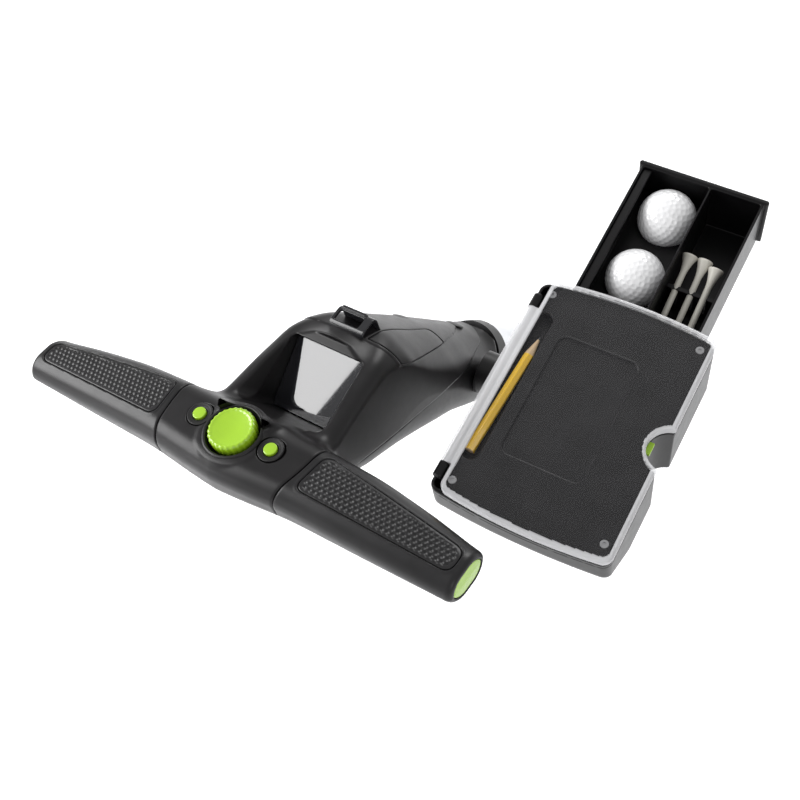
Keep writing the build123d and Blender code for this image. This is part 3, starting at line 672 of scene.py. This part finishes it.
# ---------------------------------------------------------------- storage box
BOX_W, BOX_L, BOX_BULGE = 127.0, 172.0, 4.5
BOX_LOW, BASE_TOP, LID_SKIRT, LID_LEFT = -59.5, -7.3, -7.0, 8.6
BASE_FLOOR = 2.7
PIVOT_X, PIVOT_Y, PIVOT_HOLE_R = 60.0, 136.0, 10.0
NOTCH_X, NOTCH_Y, NOTCH_R = 130.0, 85.5, 15.5
RECESS_CENTRE, RECESS_HALF = (60.0, 88.0), (28.5, 47.0)
TRAY_TOP, TRAY_FLOOR, SLOT_DEPTH = -3.2, -6.0, 6.4
POSTS = ((14, 10), (118, 12), (12, 162), (118, 162))
HINGE_X, HINGE_Z, HINGE_R = 4.0, -4.3, 3.5
BARREL_Y, EAR_Y = (19.0, 147.0), (8.0, 158.0)
LATCH_X, LATCH_Y, LATCH_Z = (110.0, 118.0), (81.0, 90.0), (-11.6, -8.4)
DRAWER_X = (20.5, 112.0)
DRAWER_FRONT, DRAWER_NEAR, DRAWER_TOP, DRAWER_FLOOR = 295.0, 150.0, -12.5, -54.9
DRAWER_WALL, DIVIDER_X = 1.8, 72.2
BALL_R, BALL_X, BALL_Z, BALL_Y = 21.335, 50.6, -33.5, (271.9, 214.8)
TEE_PLACES = ((80.0, 243.0), (91.2, 243.0), (100.6, 239.0))
TEE_HEAD_Z, TEE_LENGTH, TEE_TILT = -25.0, 70.0, 16.0

BOX_BLACK = moulded("box_black", (0.004, 0.0037, 0.0042), 0.33, vary=0.2, Specular_IOR_Level=0.25)
TRAY = moulded("tray_black", (0.019, 0.0185, 0.0195), 0.42, grain_depth=0, vary=0.2, Specular_IOR_Level=0.3)


def box_outline(x, y, inset, left=0.0, radius=6.0):
    """Distance outside the box's plan: straight sides, with its front and back edges bowed outwards."""
    low, high = left + inset, BOX_W - inset
    place = np.clip((x - (low + high) / 2) / (high - low) * 2, -1, 1)
    half = BOX_L / 2 - inset + BOX_BULGE * (1 - place ** 2)
    return rounded_box(x - (low + high) / 2, y - BOX_L / 2, (high - low) / 2, half, radius)


def between(value, low, high):
    return np.maximum(low - value, value - high)


def block(x, y, z, spans, radius=0.0):
    """Distance to a box between two limits on each axis, with its upright edges rounded."""
    (x0, x1), (y0, y1), (z0, z1) = spans
    plan = rounded_box(x - (x0 + x1) / 2, y - (y0 + y1) / 2, (x1 - x0) / 2, (y1 - y0) / 2, radius)
    return np.maximum(plan, between(z, z0, z1))


def notch(x, y, grow=0.0):
    return np.hypot(x - NOTCH_X, y - NOTCH_Y) - NOTCH_R - grow


def barrel(x, y, z, span, radius):
    return np.maximum(np.hypot(x - HINGE_X, z - HINGE_Z) - radius, between(y, *span))


def base_field(x, y, z):
    """The base: walls, a floor that slopes up at the front, a finger notch, a drawer tunnel, hinge ears."""
    outer = smooth_max(box_outline(x, y, 0.6), between(z, BOX_LOW, BASE_TOP), 2.2)
    hollow = np.maximum(box_outline(x, y, 3.1, radius=4), between(z, BOX_LOW + BASE_FLOOR, 3))
    hollow = np.maximum(hollow, np.minimum(-notch(x, y, 2.5), x - DRAWER_X[1] - 0.5))
    slope = (-16.5 - z - 0.86 * (y + 20)) * 0.758
    form = smooth_max(smooth_max(outer, slope, 6), -np.maximum(hollow, slope + 2.8), 0.5)
    form = smooth_max(form, -notch(x, y), 0.8)
    tunnel_z = (BOX_LOW + BASE_FLOOR, DRAWER_TOP + 0.5)
    tunnel = block(x, y, z, ((DRAWER_X[0] - 0.6, DRAWER_X[1] + 0.5), (120, 200), tunnel_z))
    form = smooth_max(form, -tunnel, 0.5)
    gap = block(x, y, z, ((-2, 9), (BARREL_Y[0] - 0.4, BARREL_Y[1] + 0.4), (HINGE_Z - HINGE_R - 0.2, 4)))
    form = np.maximum(form, -gap)
    for span in ((EAR_Y[0], BARREL_Y[0] - 0.25), (BARREL_Y[1] + 0.25, EAR_Y[1])):
        ear = np.minimum(barrel(x, y, z, span, HINGE_R),
                         block(x, y, z, ((HINGE_X - 3, HINGE_X + 3), span, (BASE_TOP - 3, HINGE_Z))))
        form = np.minimum(form, np.maximum(ear, 1.6 - np.hypot(x - HINGE_X, z - HINGE_Z)))
    seam = np.abs(z + 11.5) - 0.35
    form = np.maximum(form, -np.maximum(seam, -0.35 - box_outline(x, y, 0.6)))
    slot = block(x, y, z, ((107, LATCH_X[1] + 0.3), (LATCH_Y[0] - 0.3, LATCH_Y[1] + 0.3),
                           (LATCH_Z[0] - 0.3, LATCH_Z[1] + 0.3)))
    form = np.maximum(form, -slot)
    pivot = np.maximum(np.hypot(x - PIVOT_X, y - PIVOT_Y) - PIVOT_HOLE_R, z - BOX_LOW - 3.5)
    return np.maximum(form, -pivot)


def pencil_slot(x, y, grow=0.0):
    """Distance outside the round-ended plan of the pencil's pocket."""
    return rounded_box(x - 15.6, y - 87.0, 6.0 + grow, 60.0 + grow, 5.9 + grow)


def tray_field(x, y, z):
    """The deck under the lid: a shallow panel for a card, a pencil's pocket and four screwed posts."""
    deck = smooth_max(box_outline(x, y, 3.2, 5.2, 5), between(z, TRAY_FLOOR, TRAY_TOP), 1.0)
    cup = np.maximum(pencil_slot(x, y, 1.2), between(z, TRAY_TOP - SLOT_DEPTH - 1.4, TRAY_TOP - 0.4))
    form = np.minimum(deck, cup)
    pocket = np.maximum(pencil_slot(x, y), TRAY_TOP - SLOT_DEPTH - z)
    form = smooth_max(form, -pocket, 0.9)
    u, v = x - RECESS_CENTRE[0], y - RECESS_CENTRE[1]
    recess = np.maximum(rounded_box(u, v, *RECESS_HALF, 6), TRAY_TOP - 0.9 - z)
    form = smooth_max(form, -recess, 0.5)
    bead = np.abs(rounded_box(u, v, RECESS_HALF[0] + 0.9, RECESS_HALF[1] + 0.9, 6.9)) - 0.35
    form = smooth_min(form, np.maximum(bead, between(z, TRAY_TOP - 1, TRAY_TOP + 0.25)), 0.3)
    form = smooth_max(form, -notch(x, y, 2.2), 0.5)
    for px, py in POSTS:
        form = np.maximum(form, -np.maximum(np.hypot(x - px, y - py) - 3.0, TRAY_TOP - 1.5 - z))
    return form


def lid_field(x, y, z):
    """The whole lid: a thin plate with a skirt, a cup round the finger notch and the hinge's barrel."""
    body = smooth_max(box_outline(x, y, 0, LID_LEFT), between(z, LID_SKIRT, 0), 2.6)
    under = smooth_max(box_outline(x, y, 2.0, 0, 4), z + 1.8, 2.0)
    form = smooth_max(body, -under, 0.4)
    cup = np.maximum(np.maximum(notch(x, y, 1.8), body), z + 0.05)
    form = smooth_max(smooth_min(form, cup, 0.8), -notch(x, y), 1.0)
    web = block(x, y, z, ((HINGE_X, 12), BARREL_Y, (-2.6, -0.8)))
    hinge = smooth_min(barrel(x, y, z, BARREL_Y, HINGE_R), web, 0.8)
    form = np.minimum(form, np.maximum(hinge, 1.75 - np.hypot(x - HINGE_X, z - HINGE_Z)))
    tab = np.abs(rounded_box(x - 61, y - 9, 13.4, 16.4, 6)) - 0.45
    return smooth_max(form, -np.maximum(np.maximum(tab, -1.0 - z), 2.5 - y), 0.4)


def clear_material(name, color, alpha, roughness, gloss):
    """Clear moulded plastic with faint moulding waves."""
    material, shader = node_material(name, color, roughness, Specular_IOR_Level=gloss)
    cloud = object_noise(material, 22.0)
    link(material, mapped(material, cloud, alpha * 0.9, alpha * 1.1), shader.inputs["Alpha"])
    add_bump(material, shader, object_noise(material, 14.0, 0.0), 0.15, 0.0003)
    material.surface_render_method = "BLENDED"
    return material


CLEAR = clear_material("clear_plate", (0.06, 0.06, 0.065), 0.06, 0.2, 0.5)
# A whitish, more opaque copy of the clear plastic for the lid's thick edges: a painted highlight for the bright
# edges that clear plastic shows.
CLEAR_RIM_HIGHLIGHT = clear_material("clear_rim_painted_highlight", (0.92, 0.92, 0.94), 0.42, 0.12, 0.8)


def lid_highlight_zone(x, y, z):
    """Negative near the lid's thick places (its skirt, its notch cup and its hinge), where the lid gets its
    whitish painted highlight.
    """
    rim = -box_outline(x, y, 3.2, LID_LEFT, 4)
    return np.minimum(np.minimum(rim, notch(x, y, 2.2)), x - 9.6)


def make_lid():
    values = sample(lid_field, (-2, -9, -10), (131, 181, 3), 0.62)
    points, quads = surface_net(values, (-2, -9, -10), 0.62)
    points = settle(points, lid_field, 0.62)
    lid = mesh_object("lid_shell", points, quads, BOX)
    finish_piece(lid, "lid", "clear_plastic", CLEAR, "box_lid")
    lid.data.materials.append(CLEAR_RIM_HIGHLIGHT)
    centres = points[quads].mean(1)
    # Faces near the thick places take the whitish material: a painted highlight on the lid's edges.
    highlight_faces = lid_highlight_zone(*centres.T) < 0
    lid.data.polygons.foreach_set("material_index", highlight_faces.astype(np.int32))


def make_box():
    base = field_piece("box_base_shell", base_field, (-3, -9, -62), (131, 181, 1), 0.9, BOX)
    finish_piece(base, "storage_box", "box_black", BOX_BLACK, "box_base")
    tray = field_piece("card_tray", tray_field, (3, -3, -13), (127, 176, 0), 0.55, BOX)
    finish_piece(tray, "storage_box", "tray_black", TRAY, "scorecard_tray")
    make_lid()
    latch = field_piece("latch_button", latch_field, (107, 77, -14), (121, 94, -6), 0.35, BOX)
    finish_piece(latch, "latch", "green_plastic", GREEN, "lid_latch")


def latch_field(x, y, z):
    """The release button and the flange that keeps it in."""
    button = smooth_max(rounded_box(y - 85.5, z + 10.0, 4.5, 1.6, 0.7), between(x, *LATCH_X), 0.6)
    flange = block(x, y, z, ((LATCH_X[0], LATCH_X[0] + 0.8), (LATCH_Y[0] - 2, LATCH_Y[1] + 2), LATCH_Z))
    return np.maximum(np.minimum(button, flange), -notch(x, y, 2.8) - 6.5)


PENCIL_R = 3.7
PENCIL_PAINT = moulded("pencil_yellow", (0.82, 0.50, 0.03), 0.3, grain_depth=0, vary=0.06, Coat_Weight=0.6)
PENCIL_WOOD = moulded("pencil_wood", (0.62, 0.45, 0.27), 0.7, grain=900.0, vary=0.15)
PENCIL_LEAD = moulded("pencil_lead", (0.05, 0.05, 0.055), 0.4, grain_depth=0)


def make_pencil():
    """A hexagonal pencil with a bevelled paint edge, bare wood and a lead point."""
    direction = Vector((4.8, 95, 0)).normalized()
    turn = direction.to_track_quat("Z", "X").to_matrix().to_4x4()
    place = Matrix.Translation((13.6, 34, TRAY_TOP - SLOT_DEPTH + 3.4)) @ turn
    # Each station's distance from the blunt end, its size and how round it is.
    stations = [(0, 0.9, 0.0), (0.3, 1.0, 0.0), (77.0, 1.0, 0.0), (79.5, 0.985, 0.15), (81.5, 0.93, 0.6)]
    stations += [(83.5, 0.82, 1.0), (93.0, 0.27, 1.0), (96.0, 0.08, 1.0)]
    segments, points, faces = 48, [], []
    for j, (height, size, round_part) in enumerate(stations):
        for i in range(segments):
            angle = 2 * math.pi * i / segments
            hexagon = math.cos(math.pi / 6) / math.cos((angle % (math.pi / 3)) - math.pi / 6)
            radius = PENCIL_R * size * ((1 - round_part) * min(hexagon, 0.985) + round_part * 0.9)
            points.append(place @ Vector((radius * math.cos(angle), radius * math.sin(angle), height)))
            if j:
                a, b, k = (j - 1) * segments, j * segments, (i + 1) % segments
                faces.append((a + i, a + k, b + k, b + i))
    faces += [tuple(range(segments))[::-1], tuple(range(len(points) - segments, len(points)))]
    pencil = mesh_object("pencil_body", points, faces, BOX)
    finish_piece(pencil, "storage_box", "pencil_paint", PENCIL_PAINT, "pencil")
    pencil.data.materials.append(PENCIL_WOOD)
    pencil.data.materials.append(PENCIL_LEAD)
    index = [0 if f // segments < 3 else 1 if f // segments < 6 else 2 for f in range(len(faces) - 2)]
    pencil.data.polygons.foreach_set("material_index", np.array(index + [1, 2], np.int32))


BALL_WHITE = moulded("ball_white", (0.86, 0.86, 0.87), 0.28, grain_depth=0, vary=0.02, Coat_Weight=0.6)
TEE_WHITE = moulded("tee_white", (0.60, 0.58, 0.52), 0.4, grain_depth=0, vary=0.05)


def drawer_field(x, y, z):
    """The open drawer: thin walls, a divider and a wider front panel."""
    (x0, x1), bottom = DRAWER_X, DRAWER_FLOOR - 1.5
    body = block(x, y, z, ((x0, x1), (DRAWER_NEAR, DRAWER_FRONT), (bottom, DRAWER_TOP)), 1.0)
    inner_y, inner_z = (DRAWER_NEAR + 2, DRAWER_FRONT - 1), (DRAWER_FLOOR, 5)
    left = block(x, y, z, ((x0 + DRAWER_WALL, DIVIDER_X), inner_y, inner_z), 1.5)
    right = block(x, y, z, ((DIVIDER_X + 1.4, x1 - DRAWER_WALL), inner_y, inner_z), 1.5)
    form = smooth_max(body, -np.minimum(left, right), 0.4)
    panel_spans = ((x0 - 2.5, x1 + 3), (DRAWER_FRONT, DRAWER_FRONT + 3), (bottom, DRAWER_TOP + 1))
    panel = block(x, y, z, panel_spans, 1.2)
    return np.minimum(form, panel)


def rack_field(x, y, z):
    """The rack that holds two balls in round cups."""
    x0, x1 = DRAWER_X[0] + DRAWER_WALL + 0.1, DIVIDER_X - 0.1
    top = DRAWER_FLOOR + 16
    rail_y = (DRAWER_NEAR + 2.2, DRAWER_FRONT - 1.2)
    form = block(x, y, z, ((x0, x1), (DRAWER_NEAR + 36, DRAWER_FRONT - 1.2), (top - 2, top)), 1.0)
    rail = block(x, y, z, ((x0, x0 + 6.4), rail_y, (DRAWER_TOP - 4, DRAWER_TOP - 2)))
    wall = block(x, y, z, ((x0, x0 + 1.6), rail_y, (DRAWER_FLOOR, DRAWER_TOP - 2)))
    end = block(x, y, z, ((x0, x1), (DRAWER_NEAR + 36, DRAWER_NEAR + 38), (DRAWER_FLOOR, top)))
    form = np.minimum(np.minimum(form, rail), np.minimum(wall, end))
    for ball_y in BALL_Y:
        lip = np.abs(np.hypot(x - BALL_X, y - ball_y) - 20.2) - 0.8
        form = smooth_min(form, np.maximum(lip, between(z, top - 1, top + 1.2)), 0.8)
        reach = np.sqrt((x - BALL_X) ** 2 + (y - ball_y) ** 2 + (z - BALL_Z) ** 2)
        form = smooth_max(form, BALL_R + 0.2 - reach, 0.4)
    return form


DIMPLES, DIMPLE_R, DIMPLE_DEPTH = 336, 1.75, 0.26


def ball_centres():
    """Evenly spread directions for a ball's dimples."""
    index = np.arange(DIMPLES) + 0.5
    height = 1 - 2 * index / DIMPLES
    turn = math.pi * (1 + math.sqrt(5)) * index
    out = np.sqrt(1 - height ** 2)
    return np.stack((out * np.cos(turn), out * np.sin(turn), height), 1)


def make_balls():
    bpy.ops.mesh.primitive_ico_sphere_add(subdivisions=7, radius=1)
    ico = bpy.context.object
    points = np.array([v.co for v in ico.data.vertices])
    faces = [tuple(f.vertices) for f in ico.data.polygons]
    bpy.data.objects.remove(ico)
    near = np.full(len(points), -1.0)
    for centre in ball_centres():
        near = np.maximum(near, points @ centre)
    reach = np.arccos(np.clip(near, -1, 1)) * BALL_R / DIMPLE_R
    radius = BALL_R - DIMPLE_DEPTH * np.clip(1 - reach ** 2, 0, 1) ** 0.8
    for number, ball_y in enumerate(BALL_Y):
        place = points * radius[:, None] + np.array((BALL_X, ball_y, BALL_Z))
        ball = mesh_object(f"golf_ball_{number + 1}", place, faces, BOX)
        finish_piece(ball, "drawer", "ball_white", BALL_WHITE, "golf_balls")


def make_tees():
    profile = [(0.25, -TEE_LENGTH), (1.2, -TEE_LENGTH + 4), (2.0, -TEE_LENGTH + 10), (2.3, -TEE_LENGTH + 13)]
    profile += [(2.3, -15), (2.45, -12.5), (3.0, -9), (4.0, -5), (5.2, -1.9), (5.6, -1.1), (5.6, -0.35)]
    profile += [(5.35, -0.1), (5.0, 0.0), (4.2, -0.9), (3.0, -1.6), (1.5, -2.0), (0.3, -2.1)]
    parts = []
    for x, y in TEE_PLACES:
        turn = Matrix.Rotation(math.radians(-90 + TEE_TILT), 4, "X")
        parts.append(turned(profile, 48, None, Matrix.Translation((x, y, TEE_HEAD_Z)) @ turn))
    tees = joined("tee_set", parts, BOX)
    finish_piece(tees, "drawer", "tee_white", TEE_WHITE, "golf_tees")


def make_drawer():
    drawer = field_piece("drawer_shell", drawer_field, (15, 146, -60), (118, 301, -8), 0.75, BOX)
    finish_piece(drawer, "drawer", "box_black", BOX_BLACK, "drawer")
    rack = field_piece("ball_cups", rack_field, (20, 148, -58), (74, 297, -10), 0.75, BOX)
    finish_piece(rack, "drawer", "box_black", BOX_BLACK, "ball_rack")
    make_balls()
    make_tees()


# ---------------------------------------------------------------- pieces kept from the CAD
def dress_cad():
    """Every CAD piece that still shows gets its own node material."""
    satin = moulded("satin_aluminium", (0.62, 0.63, 0.65), 0.32, grain=1800.0, vary=0.05, Metallic=1.0)
    steel = moulded("bright_steel", (0.50, 0.50, 0.51), 0.28, grain=1500.0, vary=0.08, Metallic=1.0)
    dark = moulded("display_dark", (0.012, 0.012, 0.016), 0.3, grain_depth=0)
    lcd = moulded("display_lcd", (0.05, 0.053, 0.062), 0.35, grain_depth=0, vary=0.08)
    board = moulded("circuit_board", (0.01, 0.075, 0.03), 0.45, grain=1200.0)
    glass = moulded("display_glass", (0.012, 0.012, 0.016), 0.03, grain_depth=0, vary=0.05,
                    Coat_Weight=1.0, Coat_Roughness=0.02, Alpha=0.8)
    wanted = {"shaft_silver": satin, "clear_plastic": CLEAR, "steel": steel,
              "display_dark": dark, "circuit_board": board,
              "display_glass": glass, "housing_black": HOUSING, "box_black": BOX_BLACK, "tray_black": TRAY,
              "green_plastic": GREEN, "gloss_black": GLOSS_BLACK, "pad_black": PAD}
    for part in frame["record"]["subparts"]:
        name = part["node"]
        material = lcd if name == "lcd_panel" else wanted.get(part["material_slot"])
        if material:
            piece = frame["nodes"][name]
            piece.data.materials.clear()
            piece.data.materials.append(material)


make_head()
make_knob()
make_ring()
make_buttons()
make_port()
make_caps()
make_clip()
make_box()
make_pencil()
make_drawer()
dress_cad()


# ---------------------------------------------------------------- stage
def make_stage():
    ground = min(cad_box[0].z, 0) - 0.001
    bpy.ops.mesh.primitive_plane_add(size=8, location=(0, 0, ground))
    floor = bpy.context.object
    floor.name = "floor"
    material, _ = node_material("pale_floor", (0.86, 0.86, 0.87), 0.9,
                                Emission_Color=(1, 1, 1, 1), Emission_Strength=0.45)
    floor.data.materials.append(material)


def make_light(name, target, offset, size, power, color=(1, 1, 1)):
    """A soft area light aimed at a point."""
    data = bpy.data.lights.new(name, "AREA")
    data.shape, data.size, data.energy, data.color = "DISK", size, power, color
    lamp = bpy.data.objects.new(name, data)
    lamp.location = Vector(target) + Vector(offset)
    lamp.rotation_mode = "QUATERNION"
    lamp.rotation_quaternion = (-Vector(offset)).to_track_quat("-Z", "Y")
    bpy.context.scene.collection.objects.link(lamp)
    return lamp


def make_world():
    world = bpy.data.worlds.new("studio")
    world.use_nodes = True
    world.node_tree.nodes["Background"].inputs["Color"].default_value = (1, 1, 1, 1)
    world.node_tree.nodes["Background"].inputs["Strength"].default_value = 0.6
    bpy.context.scene.world = world


CAMERA_IN_DECK = Vector((412.8, -209.8, 574.0))
CAMERA_RIGHT = Vector((0.8065, 0.5561, -0.2009))
CAMERA_UP = Vector((-0.3676, 0.7376, 0.5663))


def make_camera():
    data = bpy.data.cameras.new("camera")
    data.lens, data.sensor_width = 54.0, 36.0
    data.clip_start, data.clip_end = 0.01, 50.0
    camera = bpy.data.objects.new("camera", data)
    right, up = CAMERA_RIGHT.normalized(), CAMERA_UP.normalized()
    turn = Matrix((right, up, right.cross(up))).transposed().to_4x4()
    camera.matrix_world = Matrix.Translation(DECK @ CAMERA_IN_DECK) @ turn
    bpy.context.scene.collection.objects.link(camera)
    bpy.context.scene.camera = camera


SOFTBOX_REACH, SOFTBOX_SIZE, SOFTBOX_POWER = 1.0, 0.7, 13.0


def make_softbox():
    """A square softbox placed where the display mirrors it, its edge slanting across the glass."""
    eye = DECK @ CAMERA_IN_DECK
    normal = Vector((0, -GLASS_ALONG[1], GLASS_ALONG[0]))
    corners = []
    for x, (y, z) in ((4.0, GLASS_LOW), (22.0, GLASS_HIGH)):
        spot = DECK @ Vector((x, y, z))
        ray = (spot - eye).normalized()
        ray -= 2 * ray.dot(normal) * normal
        corners.append(spot + ray * SOFTBOX_REACH)
    edge = (corners[1] - corners[0]).normalized()
    aim = (DECK @ Vector((0, 70, -42))) - (corners[0] + corners[1]) / 2
    side = edge.cross(aim).normalized()
    if side.x > 0:
        side = -side
    centre = (corners[0] + corners[1]) / 2 + side * SOFTBOX_SIZE / 2
    data = bpy.data.lights.new("softbox", "AREA")
    data.shape, data.size, data.energy = "SQUARE", SOFTBOX_SIZE, SOFTBOX_POWER
    lamp = bpy.data.objects.new("softbox", data)
    out = side.cross(edge)
    out = out if out.dot(aim) < 0 else -out
    turn = Matrix((edge.cross(out), edge, out)).transposed().to_4x4()
    lamp.matrix_world = Matrix.Translation(centre) @ turn
    bpy.context.scene.collection.objects.link(lamp)


make_stage()
make_world()
make_camera()
make_softbox()
middle = (cad_box[0] + cad_box[1]) / 2
make_light("fill", middle, (1.4, -1.0, 1.1), 0.9, 4)
make_light("rim", middle, (-0.2, 1.6, 1.0), 0.9, 12)
make_light("front", middle, (-1.0, -1.5, 0.35), 0.5, 3.5)
bpy.context.scene.view_settings.view_transform = "Standard"
